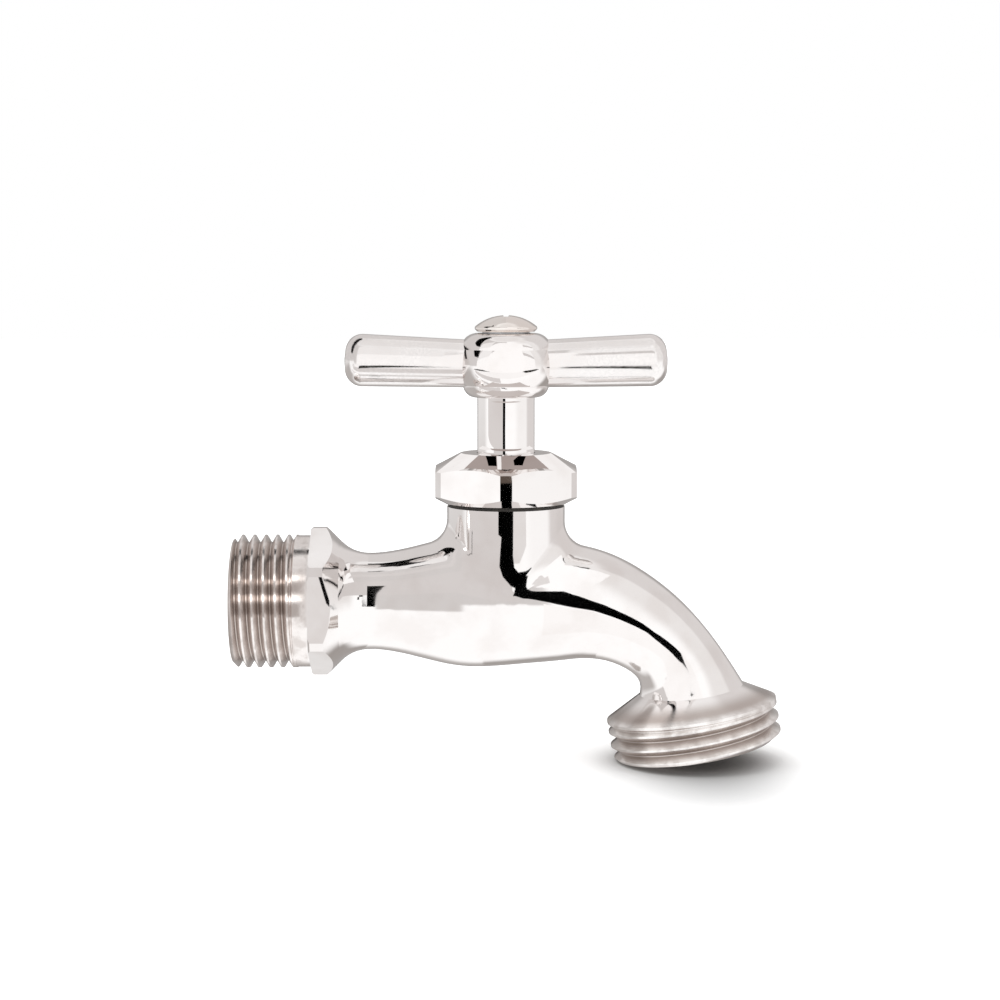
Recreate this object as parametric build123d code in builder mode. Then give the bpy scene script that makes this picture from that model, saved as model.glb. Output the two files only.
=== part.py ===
from build123d import *

import os
from math import atan, ceil, cos, degrees, pi, radians, sin, tan

# A small garden tap with a T-handle: pipe-threaded inlet, compression valve, hose-threaded outlet.
# Millimetres. The origin is the centre of the inlet's end face, +X runs along the inlet towards
# the spout and +Z runs up the stem. Everything is drawn with the valve closed.

os.makedirs("parts", exist_ok=True)

# Inlet: half-inch pipe thread, a plain shank and a thin hexagon collar
inlet_thread_d = 20.955
inlet_thread_pitch = 1.814
inlet_thread_depth = 1.16
inlet_thread_length = 9.2
inlet_thread_lead = 0.8
inlet_shank_length = 3.1
inlet_shank_d = 20.75
inlet_bore_d = 14.0
inlet_bore_depth = 15.0
collar_across_flats = 21.0
collar_corner_d = 23.4
collar_edge_length = 2.4

# Body: neck, belly and boss
stem_x = 42.9
neck_d = 15.2
neck_flare_radius = 6.2
neck_flare_end_angle = 45.0
neck_straight_share = 0.03
belly_height = 20.7
belly_width = 19.0
belly_lead = 4.8
belly_kept_share = 0.6
boss_d = 18.5
boss_top_z = 15.1
boss_fillet = 4.0
body_wall = 2.2

# Spout: two bends and a short straight drop, set back from the stem axis
bend_offset = 8.2
bend_start_height = 18.8
bend_start_width = 18.8
shallow_bend_radius = 24.0
shallow_bend_angle = 42.0
tight_bend_radius = 15.0
throat_d = 13.6
throat_share = 0.4
shoulder_swell = 3.8
shoulder_share = 0.3
spout_swell = 1.6
spout_share = 0.65
spout_lower_swell = 1.5
spout_lower_share = 0.72
spout_end_swell = 4.4
outlet_tilt = 9.0
outlet_drop = 8.5

# Outlet: three-quarter-inch garden hose thread
outlet_thread_d = 26.99
outlet_thread_pitch = 2.209
outlet_thread_depth = 1.35
outlet_thread_length = 7.3
outlet_thread_lead = 0.7
outlet_lip_drop = 0.9
outlet_cone_height = 2.6
outlet_cone_overlap = 1.6
outlet_bore_d = 18.4
outlet_bore_depth = 6.4

# Valve seat and its web inside the body
seat_z = -1.0
seat_bore_d = 6.4
seat_lip_width = 1.0
seat_lip_height = 0.8
seat_lip_break = 0.25
seat_ring_d = 10.0
seat_ring_height = 3.2
seat_key_across_flats = 6.6
seat_key_depth = 1.8
chamber_d = 14.8
chamber_top_z = 5.6
lower_chamber_d = 10.0
passage_straight = 1.1

# Headwork: the neck that carries the cap nut and the packing
headwork_thread_d = 16.0
headwork_thread_pitch = 1.0
headwork_thread_depth = 0.6
headwork_height = 5.1
packing_chamber_d = 13.8
packing_chamber_depth = 3.4

# Cap nut and its gasket
gasket_thickness = 0.4
gasket_d = 18.2
nut_across_flats = 22.0
nut_corner_cut = 1.05
nut_height = 8.0
nut_bevel_angle = 27.5
nut_foot_d = 18.7
nut_ring_d = 14.2
nut_roof = 1.6

# Packing set around the stem
packing_washer_thickness = 1.0
packing_bevel = 1.4
gland_flange_thickness = 1.0
gland_spigot_height = 0.9

# Spindle
stem_d = 9.0
spindle_thread_d = 12.0
spindle_thread_pitch = 2.25
spindle_thread_depth = 0.8
spindle_thread_flat = 0.8
spindle_thread_length = 8.0
spindle_square = 6.3
spindle_square_length = 6.2

# Valve plate with its pin and stud, rubber disc and small nut
valve_plate_d = 10.0
valve_plate_thickness = 1.5
valve_pin_d = 4.0
valve_pin_length = 6.4
valve_stud_d = 3.0
valve_stud_end = 0.4
seat_washer_d = 9.8
seat_washer_thickness = 3.0
valve_nut_across_flats = 5.0
valve_nut_height = 2.0

# Handle: barrel hub with two bars
hub_bottom_z = 32.2
hub_height = 10.0
hub_d = 13.4
hub_belly_d = 15.4
hub_shoulder_d = 14.2
hub_top_d = 9.2
hub_shoulder_height = 2.5
hub_shoulder_radius = 2.6
hub_foot_round = 1.9
hub_stem_socket = 1.3
hub_roof = 1.65
bar_reach = 25.25
bar_root_d = 7.2
bar_end_d = 8.2
bar_rise_angle = 1.85
bar_height_on_hub = 5.05
bar_end_round = 2.7
bar_end_dome = 0.12

# Handle screw and its spring washer
screw_d = 3.9
screw_length = 8.6
screw_head_d = 9.76
screw_head_height = 2.55
screw_head_side = 0.75
screw_head_round = 0.4
screw_cross_width = 0.9
screw_cross_length = 4.2
screw_cross_depth = 1.2
screw_cross_taper = 15.0
screw_head_gap = 0.25
spring_washer_d = 7.4
spring_washer_thickness = 0.9
spring_washer_slit = 0.6

# Clearances, all measured on the radius
running_clearance = 0.08
thread_clearance = 0.1
socket_clearance = 0.05
loose_clearance = 0.15
pin_end_clearance = 0.6

# Small shared details
pipe_thread_flat = 0.3
thread_root_flat = 0.15
thread_overcut = 0.1
thread_runout = 0.35
thread_lead_in = 0.5
edge_break = 0.3
radius_tolerance = 0.03
hexagon_corner_up = 30.0

# Places that follow from the sizes
flare_end = radians(neck_flare_end_angle)
collar_x = inlet_thread_length + inlet_shank_length
shank_x = inlet_thread_length + thread_runout * inlet_thread_pitch + edge_break
collar_edge_x = collar_x + collar_edge_length
flare_start_d = neck_d + 2 * neck_flare_radius * (1 - cos(flare_end))
flare_start_x = collar_edge_x + (collar_corner_d - flare_start_d) / 2 / tan(flare_end)
neck_x = flare_start_x + neck_flare_radius * sin(flare_end)
belly_x = stem_x - belly_lead
bend_x = stem_x + bend_offset
tight_bend_angle = 90 - outlet_tilt - shallow_bend_angle
shoulder_d = throat_d + shoulder_swell
spout_d = throat_d + spout_swell
spout_lower_d = throat_d + spout_lower_swell
spout_end_d = throat_d + spout_end_swell
web_top_z = seat_z - seat_lip_height
web_bottom_z = seat_z - seat_ring_height
floor_z = body_wall - belly_height / 2
headwork_top_z = boss_top_z + headwork_height
packing_floor_z = headwork_top_z - packing_chamber_depth
nut_bottom_z = boss_top_z + gasket_thickness
nut_top_z = nut_bottom_z + nut_height
nut_ceiling_z = nut_top_z - nut_roof
nut_bore_d = headwork_thread_d + 2 * thread_clearance
spindle_bottom_z = seat_z + seat_washer_thickness + valve_plate_thickness
spindle_collar_z = spindle_bottom_z + spindle_thread_length
headwork_bore_d = spindle_thread_d + 2 * thread_clearance
hub_top_z = hub_bottom_z + hub_height
stem_shoulder_z = hub_bottom_z + hub_stem_socket
spindle_top_z = stem_shoulder_z + spindle_square_length
hub_recess_z = hub_top_z + screw_head_gap - spring_washer_thickness
screw_head_z = hub_top_z + screw_head_gap
stem_hole_d = stem_d + 2 * running_clearance
port_centre_z = (chamber_top_z + web_top_z) / 2


def thread_groove(crest_d, pitch, depth, length, crest_flat, root_flat):
    """Return a right-hand thread's groove along +Z, from outside the end face to its run-out."""
    half_mouth = (pitch - crest_flat) / 2
    half_root = root_flat / 2
    spread = (half_mouth - half_root) / depth * thread_overcut
    turns = ceil(length / pitch + thread_lead_in)
    with BuildPart() as groove:
        with BuildLine() as path:
            Helix(pitch, turns * pitch, crest_d / 2, center=(0, 0, length - turns * pitch))
        with BuildLine() as fading_path:
            Helix(
                pitch,
                thread_runout * pitch,
                crest_d / 2,
                center=(0, 0, length),
                cone_angle=degrees(atan(depth / (thread_runout * pitch))),
            )
        for line in (path.line, fading_path.line):
            with BuildSketch(Plane(origin=line @ 0, x_dir=(1, 0, 0), z_dir=line % 0)):
                with BuildLine():
                    Polyline(
                        (-depth, -half_root),
                        (thread_overcut, -half_mouth - spread),
                        (thread_overcut, half_mouth + spread),
                        (-depth, half_root),
                        close=True,
                    )
                make_face()
            sweep(path=line, is_frenet=True)
    return groove.part


def section_plane(line, fraction):
    """Return the plane square to the centreline, with its own X across the tap and Y upwards."""
    return Plane(origin=line @ fraction, x_dir=(0, 1, 0), z_dir=line % fraction)


def cross_plane(x, z):
    """Return a plane square to the inlet axis, with its own X across the tap and Y upwards."""
    return Plane(origin=(x, 0, z), x_dir=(0, 1, 0), z_dir=(1, 0, 0))


def stem_plane(z):
    """Return a level plane centred on the stem axis."""
    return Plane.XY.offset(z) * Location((stem_x, 0, 0))


# The upright plane through the stem axis, in which the turned pieces are drawn as X and Z
stem_section = Plane(origin=(stem_x, 0, 0), x_dir=(1, 0, 0), z_dir=(0, -1, 0))
stem_axis = Axis((stem_x, 0, 0), (0, 0, 1))

# Centreline of the body, from the neck to the outlet's end face
with BuildLine(Plane.XZ) as centreline:
    barrel_line = Line((neck_x, 0), (bend_x, 0))
    shallow_bend = JernArc(barrel_line @ 1, barrel_line % 1, shallow_bend_radius, -shallow_bend_angle)
    tight_bend = JernArc(shallow_bend @ 1, shallow_bend % 1, tight_bend_radius, -tight_bend_angle)
    drop_line = Line(tight_bend @ 1, tight_bend @ 1 + (tight_bend % 1) * outlet_drop)

# Outlet frame: the end face's centre, with Z pointing back up into the spout
outlet_plane = Plane(origin=drop_line @ 1, x_dir=(0, 1, 0), z_dir=-(drop_line % 1))

# Inlet spigot with its pipe thread
with BuildPart() as inlet_spigot:
    with BuildSketch(Plane.YZ):
        Circle(inlet_thread_d / 2)
    extrude(amount=shank_x)
    chamfer(inlet_spigot.edges().group_by(Axis.X)[0], length=inlet_thread_lead)
    with BuildSketch(Plane.YZ.offset(shank_x)):
        Circle(inlet_shank_d / 2)
    extrude(amount=collar_x + edge_break - shank_x)
    with Locations(Plane.YZ):
        add(
            thread_groove(
                inlet_thread_d,
                inlet_thread_pitch,
                inlet_thread_depth,
                inlet_thread_length,
                pipe_thread_flat,
                thread_root_flat,
            ),
            mode=Mode.SUBTRACT,
        )

# Hexagon collar, turned down on its right into the flare of the neck
with BuildPart() as collar:
    with BuildSketch(Plane.XZ):
        with BuildLine():
            Polyline(
                (neck_x, neck_d / 2),
                (neck_x, 0),
                (collar_x, 0),
                (collar_x, collar_corner_d / 2 - edge_break),
                (collar_x + edge_break, collar_corner_d / 2),
                (collar_edge_x, collar_corner_d / 2),
                (flare_start_x, flare_start_d / 2),
            )
            RadiusArc(
                (flare_start_x, flare_start_d / 2), (neck_x, neck_d / 2), -neck_flare_radius
            )
        make_face()
    revolve(axis=Axis.X)
    with BuildSketch(Plane.YZ.offset(collar_x)):
        RegularPolygon(collar_across_flats / 2, 6, major_radius=False, rotation=hexagon_corner_up)
    extrude(amount=neck_x - collar_x, mode=Mode.INTERSECT)

# Outlet flange: hose thread below a shallow cone
with BuildPart() as outlet_flange:
    with BuildSketch(Plane.XZ):
        with BuildLine():
            Polyline(
                (0, 0),
                (outlet_thread_d / 2, 0),
                (outlet_thread_d / 2, outlet_thread_length - outlet_lip_drop),
                (spout_end_d / 2 - outlet_cone_overlap, outlet_thread_length + outlet_cone_height),
                (0, outlet_thread_length + outlet_cone_height),
                close=True,
            )
        make_face()
    revolve(axis=Axis.Z)
    chamfer(outlet_flange.edges().group_by(Axis.Z)[0], length=outlet_thread_lead)
    add(
        thread_groove(
            outlet_thread_d,
            outlet_thread_pitch,
            outlet_thread_depth,
            outlet_thread_length - outlet_thread_pitch,
            pipe_thread_flat,
            thread_root_flat,
        ),
        mode=Mode.SUBTRACT,
    )

# Outside of the casting, from the neck through the belly to the end of the spout
belly_fraction = (belly_x - neck_x) / (bend_x - neck_x)
outer_stations = [(barrel_line, 0, neck_d, neck_d), (barrel_line, neck_straight_share, neck_d, neck_d)]
for step in (0.2, 0.35, 0.5, 0.65, 0.8):
    swell = (1 - cos(pi * step)) / 2
    outer_stations.append(
        (
            barrel_line,
            belly_fraction * step,
            neck_d + (belly_height - neck_d) * swell,
            neck_d + (belly_width - neck_d) * swell,
        )
    )
outer_stations += [
    (barrel_line, belly_fraction, belly_height, belly_width),
    (
        barrel_line,
        (belly_fraction + 1) / 2,
        bend_start_height + belly_kept_share * (belly_height - bend_start_height),
        bend_start_width + belly_kept_share * (belly_width - bend_start_width),
    ),
    (barrel_line, 1, bend_start_height, bend_start_width),
]
spout_stations = [
    (shallow_bend, shoulder_share, shoulder_d),
    (shallow_bend, spout_share, spout_d),
    (shallow_bend, 1, throat_d),
]
mouth_stations = [
    (tight_bend, spout_lower_share, spout_lower_d),
    (tight_bend, 1, spout_end_d),
]
with BuildPart() as casting:
    for line, fraction, height, width in outer_stations:
        with BuildSketch(section_plane(line, fraction)):
            Ellipse(width / 2, height / 2)
    for line, fraction, outer_d in (
        *spout_stations,
        (tight_bend, throat_share, throat_d),
        *mouth_stations,
    ):
        with BuildSketch(section_plane(line, fraction)):
            Ellipse(outer_d / 2, outer_d / 2)
    loft()

# Water passage from the inlet, sinking under the web to the lower chamber
inlet_passage_d = neck_d - 2 * body_wall
lower_height = web_bottom_z - floor_z
slot_width = lower_chamber_d - 2 * edge_break
slot_height = lower_height - 2 * edge_break
passage_end_x = stem_x - lower_chamber_d / 2 - passage_straight
lower_centre_z = (floor_z + web_bottom_z) / 2
with BuildPart() as inlet_passage:
    for step in (0, 0.25, 0.5, 0.75, 1):
        sink = (1 - cos(pi * step)) / 2
        with BuildSketch(cross_plane(neck_x + (passage_end_x - neck_x) * step, sink * lower_centre_z)):
            Ellipse(
                (inlet_passage_d + (slot_width - inlet_passage_d) * step) / 2,
                (inlet_passage_d + (slot_height - inlet_passage_d) * sink) / 2,
            )
    loft()
    with BuildSketch(cross_plane(passage_end_x, lower_centre_z)):
        Ellipse(slot_width / 2, slot_height / 2)
    extrude(amount=stem_x - passage_end_x)
    with BuildSketch(stem_plane(floor_z)):
        Circle(lower_chamber_d / 2)
    extrude(amount=lower_height)

# Water passage from the upper chamber down the spout
port_height = chamber_top_z - web_top_z
port_width = chamber_d - body_wall
with BuildPart() as outlet_passage:
    with BuildSketch(cross_plane(stem_x, port_centre_z)):
        Ellipse(port_width / 2, port_height / 2 - edge_break)
    with BuildSketch(cross_plane(bend_x, port_centre_z / 2)):
        Ellipse(port_width / 2, port_height / 2 + edge_break)
    for line, fraction, outer_d in spout_stations + mouth_stations:
        with BuildSketch(section_plane(line, fraction)):
            Ellipse(outer_d / 2 - body_wall, outer_d / 2 - body_wall)
    loft()

# Turned space on the stem axis: seat hole, upper chamber, spindle bore and packing chamber
with BuildPart() as headwork_space:
    with BuildSketch(stem_section):
        with BuildLine():
            Polyline(
                (0, web_bottom_z - edge_break),
                (seat_ring_d / 2 + socket_clearance, web_bottom_z - edge_break),
                (seat_ring_d / 2 + socket_clearance, web_top_z),
                (chamber_d / 2, web_top_z),
                (chamber_d / 2, chamber_top_z),
                (headwork_bore_d / 2, chamber_top_z + (chamber_d - headwork_bore_d) / 2),
                (headwork_bore_d / 2, packing_floor_z),
                (packing_chamber_d / 2, packing_floor_z),
                (packing_chamber_d / 2, headwork_top_z),
                (0, headwork_top_z),
                close=True,
            )
        make_face()
    revolve(axis=stem_axis)

# Mouth of the spout, widening from the bend to the hose washer's seat
mouth_cone_height = (outlet_bore_d - spout_lower_d) / 2 + body_wall
with BuildPart() as outlet_mouth:
    with BuildSketch(Plane.XZ):
        with BuildLine():
            Polyline(
                (0, 0),
                (outlet_bore_d / 2, 0),
                (outlet_bore_d / 2, outlet_bore_depth),
                (spout_lower_d / 2 - body_wall, outlet_bore_depth + mouth_cone_height),
                (0, outlet_bore_depth + mouth_cone_height),
                close=True,
            )
        make_face()
    revolve(axis=Axis.Z)

# Body: the casting with its machined ends, boss, neck and waterway
with BuildPart() as body:
    add(casting.part)
    with BuildSketch(stem_plane(0)):
        Circle(boss_d / 2)
    extrude(amount=boss_top_z)
    boss_root = body.edges().filter_by(
        lambda edge: edge.geom_type == GeomType.BSPLINE
        and abs(edge.center().X - stem_x) < boss_d / 2
        and edge.center().Z > 0
    )
    fillet(boss_root, boss_fillet)
    add(collar.part)
    add(inlet_spigot.part)
    with Locations(outlet_plane):
        add(outlet_flange.part)
    with BuildSketch(stem_plane(boss_top_z)):
        Circle(headwork_thread_d / 2)
    extrude(amount=headwork_height)
    chamfer(body.edges().group_by(Axis.Z)[-1], length=edge_break)
    with Locations(stem_plane(headwork_top_z) * Location((0, 0, 0), (180, 0, 0))):
        add(
            thread_groove(
                headwork_thread_d,
                headwork_thread_pitch,
                headwork_thread_depth,
                headwork_height - headwork_thread_pitch,
                pipe_thread_flat,
                thread_root_flat,
            ),
            mode=Mode.SUBTRACT,
        )
    with BuildSketch(Plane.YZ):
        Circle(inlet_bore_d / 2)
    extrude(amount=inlet_bore_depth, mode=Mode.SUBTRACT)
    with BuildSketch(Plane.YZ.offset(inlet_bore_depth)):
        Circle(inlet_bore_d / 2)
    with BuildSketch(Plane.YZ.offset(neck_x)):
        Circle(inlet_passage_d / 2)
    loft(mode=Mode.SUBTRACT)
    add(inlet_passage.part, mode=Mode.SUBTRACT)
    add(headwork_space.part, mode=Mode.SUBTRACT)
    add(outlet_passage.part, mode=Mode.SUBTRACT)
    with Locations(outlet_plane):
        add(outlet_mouth.part, mode=Mode.SUBTRACT)

# Seat ring, screwed into the web, with a hexagon key hole below its lip
with BuildPart() as seat_ring:
    with BuildSketch(stem_plane(web_bottom_z)):
        Circle(seat_ring_d / 2)
    extrude(amount=web_top_z - web_bottom_z)
    with BuildSketch(stem_plane(web_top_z)):
        Circle(seat_bore_d / 2 + seat_lip_width)
    extrude(amount=seat_lip_height)
    chamfer(seat_ring.edges().group_by(Axis.Z)[-1], length=seat_lip_break)
    with BuildSketch(stem_plane(web_bottom_z)):
        Circle(seat_bore_d / 2)
    extrude(amount=seat_ring_height, mode=Mode.SUBTRACT)
    with BuildSketch(stem_plane(web_bottom_z)):
        RegularPolygon(seat_key_across_flats / 2, 6, major_radius=False)
    extrude(amount=seat_key_depth, mode=Mode.SUBTRACT)

# Thin gasket between the boss and the cap nut
with BuildPart() as nut_gasket:
    with BuildSketch(stem_plane(boss_top_z)):
        Circle(gasket_d / 2)
        Circle(headwork_thread_d / 2 + thread_clearance, mode=Mode.SUBTRACT)
    extrude(amount=gasket_thickness)

# Cap nut: a hexagon with flattened corners, bevelled above and below by cones
bevel_rise = tan(radians(nut_bevel_angle))
with BuildPart() as cap_nut:
    with BuildSketch(stem_plane(nut_bottom_z)):
        RegularPolygon(nut_across_flats / 2, 6, major_radius=False, rotation=hexagon_corner_up)
    extrude(amount=nut_height)
    chamfer(cap_nut.edges().filter_by(Axis.Z), length=nut_corner_cut)
    with BuildSketch(stem_section):
        with BuildLine():
            Polyline(
                (0, nut_bottom_z),
                (nut_foot_d / 2, nut_bottom_z),
                (nut_across_flats, nut_bottom_z + (nut_across_flats - nut_foot_d / 2) * bevel_rise),
                (nut_across_flats, nut_top_z),
                (0, nut_top_z),
                close=True,
            )
        make_face()
    revolve(axis=stem_axis, mode=Mode.INTERSECT)
    with BuildSketch(stem_section):
        with BuildLine():
            Polyline(
                (0, nut_bottom_z),
                (nut_across_flats, nut_bottom_z),
                (nut_across_flats, nut_top_z - (nut_across_flats - nut_ring_d / 2) * bevel_rise),
                (nut_ring_d / 2, nut_top_z),
                (0, nut_top_z),
                close=True,
            )
        make_face()
    revolve(axis=stem_axis, mode=Mode.INTERSECT)
    with BuildSketch(stem_plane(nut_bottom_z)):
        Circle(nut_bore_d / 2)
    extrude(amount=nut_ceiling_z - nut_bottom_z, mode=Mode.SUBTRACT)
    with BuildSketch(stem_plane(nut_ceiling_z)):
        Circle(stem_hole_d / 2)
    extrude(amount=nut_roof, mode=Mode.SUBTRACT)

# Brass washer on the floor of the packing chamber
with BuildPart() as packing_washer:
    with BuildSketch(stem_plane(packing_floor_z)):
        Circle(packing_chamber_d / 2 - socket_clearance)
        Circle(stem_hole_d / 2, mode=Mode.SUBTRACT)
    extrude(amount=packing_washer_thickness)

# Coned rubber packing and the brass gland ring that presses on it
packing_bottom_z = packing_floor_z + packing_washer_thickness
gland_flange_z = nut_ceiling_z - gland_flange_thickness
packing_top_z = gland_flange_z
packing_inner_d = stem_d + 2 * running_clearance
packing_outer_d = packing_chamber_d - 2 * socket_clearance
with BuildPart() as stem_packing:
    with BuildSketch(stem_section):
        with BuildLine():
            Polyline(
                (packing_inner_d / 2, packing_bottom_z),
                (packing_outer_d / 2, packing_bottom_z),
                (packing_outer_d / 2, packing_top_z - packing_bevel),
                (packing_outer_d / 2 - packing_bevel, packing_top_z),
                (packing_inner_d / 2, packing_top_z),
                close=True,
            )
        make_face()
    revolve(axis=stem_axis)

with BuildPart() as gland_ring:
    with BuildSketch(stem_section):
        with BuildLine():
            Polyline(
                (stem_hole_d / 2, gland_flange_z),
                (packing_outer_d / 2 - packing_bevel + socket_clearance, gland_flange_z),
                (
                    packing_outer_d / 2 - packing_bevel + socket_clearance + gland_spigot_height,
                    gland_flange_z - gland_spigot_height,
                ),
                (packing_outer_d / 2, gland_flange_z - gland_spigot_height),
                (packing_outer_d / 2, gland_flange_z),
                (nut_bore_d / 2 - loose_clearance, gland_flange_z),
                (nut_bore_d / 2 - loose_clearance, nut_ceiling_z),
                (stem_hole_d / 2, nut_ceiling_z),
                close=True,
            )
        make_face()
    revolve(axis=stem_axis)

# Spindle: lower screw thread, plain stem, square for the handle, and a bore at each end
pin_bore_d = valve_pin_d + 2 * running_clearance
with BuildPart() as spindle:
    with BuildSketch(stem_plane(spindle_bottom_z)):
        Circle(spindle_thread_d / 2)
    extrude(amount=spindle_thread_length)
    chamfer(spindle.edges(), length=edge_break)
    with Locations(stem_plane(spindle_bottom_z)):
        add(
            thread_groove(
                spindle_thread_d,
                spindle_thread_pitch,
                spindle_thread_depth,
                spindle_thread_length - spindle_thread_pitch / 2,
                spindle_thread_flat,
                spindle_thread_flat,
            ),
            mode=Mode.SUBTRACT,
        )
    with BuildSketch(stem_plane(spindle_collar_z)):
        Circle(stem_d / 2)
    extrude(amount=stem_shoulder_z - spindle_collar_z)
    with BuildSketch(stem_plane(stem_shoulder_z)):
        Rectangle(spindle_square, spindle_square)
    extrude(amount=spindle_square_length)
    with BuildSketch(stem_plane(spindle_bottom_z)):
        Circle(pin_bore_d / 2)
    extrude(amount=valve_pin_length + pin_end_clearance, mode=Mode.SUBTRACT)
    with BuildSketch(stem_plane(spindle_top_z)):
        Circle(screw_d / 2 + socket_clearance)
    extrude(
        amount=-(screw_length - (screw_head_z - spindle_top_z) + pin_end_clearance),
        mode=Mode.SUBTRACT,
    )

# Loose valve plate, its pin in the spindle above and its stud through the rubber disc below
with BuildPart() as jumper:
    with BuildSketch(stem_plane(seat_z + seat_washer_thickness)):
        Circle(valve_plate_d / 2)
    extrude(amount=valve_plate_thickness)
    chamfer(jumper.edges().group_by(Axis.Z)[0], length=edge_break)
    with BuildSketch(stem_plane(spindle_bottom_z)):
        Circle(valve_pin_d / 2)
    extrude(amount=valve_pin_length)
    chamfer(jumper.edges().group_by(Axis.Z)[-1], length=edge_break)
    stud_length = seat_washer_thickness + valve_nut_height + valve_stud_end
    with BuildSketch(stem_plane(seat_z + seat_washer_thickness)):
        Circle(valve_stud_d / 2)
    extrude(amount=-stud_length)

# Rubber disc that closes the seat
with BuildPart() as seat_washer:
    with BuildSketch(stem_plane(seat_z)):
        Circle(seat_washer_d / 2)
        Circle(valve_stud_d / 2 + socket_clearance, mode=Mode.SUBTRACT)
    extrude(amount=seat_washer_thickness)

# Small nut that holds the rubber disc, hanging in the seat's bore
with BuildPart() as jumper_nut:
    with BuildSketch(stem_plane(seat_z - valve_nut_height)):
        RegularPolygon(valve_nut_across_flats / 2, 6, major_radius=False)
        Circle(valve_stud_d / 2 + socket_clearance, mode=Mode.SUBTRACT)
    extrude(amount=valve_nut_height)

# Handle: barrel hub and two tapered bars that rise a little outwards
bar_z = hub_bottom_z + bar_height_on_hub
bar_length = bar_reach / cos(radians(bar_rise_angle))
hub_socket_side = spindle_square + 2 * socket_clearance
with BuildPart() as handle:
    with BuildSketch(stem_section):
        with BuildLine():
            Polyline(
                (hub_top_d / 2, hub_top_z),
                (0, hub_top_z),
                (0, hub_bottom_z),
                (hub_d / 2 - hub_foot_round, hub_bottom_z),
            )
            RadiusArc(
                (hub_d / 2 - hub_foot_round, hub_bottom_z),
                (hub_d / 2, hub_bottom_z + hub_foot_round),
                -hub_foot_round,
            )
            ThreePointArc(
                (hub_d / 2, hub_bottom_z + hub_foot_round),
                (hub_belly_d / 2, bar_z),
                (hub_shoulder_d / 2, hub_top_z - hub_shoulder_height),
            )
            RadiusArc(
                (hub_shoulder_d / 2, hub_top_z - hub_shoulder_height),
                (hub_top_d / 2, hub_top_z),
                -hub_shoulder_radius,
            )
        make_face()
    revolve(axis=stem_axis)
    for side in (-1, 1):
        bar_plane = Plane(
            origin=(stem_x, 0, bar_z),
            x_dir=(side * cos(radians(bar_rise_angle)), 0, sin(radians(bar_rise_angle))),
            z_dir=(0, -side, 0),
        )
        with BuildSketch(bar_plane):
            with BuildLine():
                Polyline(
                    (bar_length, 0),
                    (0, 0),
                    (0, bar_root_d / 2),
                    (bar_length - bar_end_dome - bar_end_round, bar_end_d / 2),
                )
                RadiusArc(
                    (bar_length - bar_end_dome - bar_end_round, bar_end_d / 2),
                    (bar_length - bar_end_dome, bar_end_d / 2 - bar_end_round),
                    bar_end_round,
                )
                TangentArc(
                    (bar_length, 0),
                    (bar_length - bar_end_dome, bar_end_d / 2 - bar_end_round),
                    tangent=(0, 1),
                )
            make_face()
        revolve(axis=Axis(bar_plane.origin, bar_plane.x_dir))
    with BuildSketch(stem_plane(hub_bottom_z)):
        Circle(stem_hole_d / 2)
    extrude(amount=hub_stem_socket, mode=Mode.SUBTRACT)
    with BuildSketch(stem_plane(stem_shoulder_z)):
        Rectangle(hub_socket_side, hub_socket_side)
    extrude(amount=hub_recess_z - hub_roof - stem_shoulder_z, mode=Mode.SUBTRACT)
    with BuildSketch(stem_plane(hub_bottom_z)):
        Circle(screw_d / 2 + loose_clearance)
    extrude(amount=hub_height, mode=Mode.SUBTRACT)
    with BuildSketch(stem_plane(hub_recess_z)):
        Circle(spring_washer_d / 2 + loose_clearance)
    extrude(amount=hub_top_z - hub_recess_z, mode=Mode.SUBTRACT)

# Split spring washer in the recess under the screw's head
with BuildPart() as lock_washer:
    with BuildSketch(stem_plane(hub_recess_z)):
        Circle(spring_washer_d / 2)
        Circle(screw_d / 2 + loose_clearance, mode=Mode.SUBTRACT)
        with Locations((0, spring_washer_d / 2)):
            Rectangle(spring_washer_slit, spring_washer_d, mode=Mode.SUBTRACT)
    extrude(amount=spring_washer_thickness)

# Domed handle screw with a cross recess
screw_top_z = screw_head_z + screw_head_height
with BuildPart() as handle_screw:
    with BuildSketch(stem_section):
        with BuildLine():
            Polyline(
                (0, screw_top_z),
                (0, screw_head_z - screw_length),
                (screw_d / 2 - edge_break, screw_head_z - screw_length),
                (screw_d / 2, screw_head_z - screw_length + edge_break),
                (screw_d / 2, screw_head_z),
                (screw_head_d / 2 - screw_head_round, screw_head_z),
                (screw_head_d / 2, screw_head_z + screw_head_round),
                (screw_head_d / 2, screw_head_z + screw_head_side),
            )
            TangentArc(
                (0, screw_top_z),
                (screw_head_d / 2, screw_head_z + screw_head_side),
                tangent=(1, 0),
            )
        make_face()
    revolve(axis=stem_axis)
    head_rim = handle_screw.edges().filter_by(
        lambda edge: edge.geom_type == GeomType.CIRCLE
        and abs(edge.radius - screw_head_d / 2) < radius_tolerance
    )
    fillet(head_rim.sort_by(Axis.Z)[-1], screw_head_round)
    with BuildSketch(stem_plane(screw_top_z)):
        Rectangle(screw_cross_length, screw_cross_width)
        Rectangle(screw_cross_width, screw_cross_length)
    extrude(amount=-screw_cross_depth, taper=screw_cross_taper, mode=Mode.SUBTRACT)

pieces = {
    "body": body,
    "seat_ring": seat_ring,
    "nut_gasket": nut_gasket,
    "cap_nut": cap_nut,
    "packing_washer": packing_washer,
    "stem_packing": stem_packing,
    "gland_ring": gland_ring,
    "spindle": spindle,
    "jumper": jumper,
    "seat_washer": seat_washer,
    "jumper_nut": jumper_nut,
    "handle": handle,
    "handle_screw": handle_screw,
    "lock_washer": lock_washer,
}
for name, piece in pieces.items():
    piece.part.label = name
    export_step(piece.part, f"parts/{name}.step")
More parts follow.
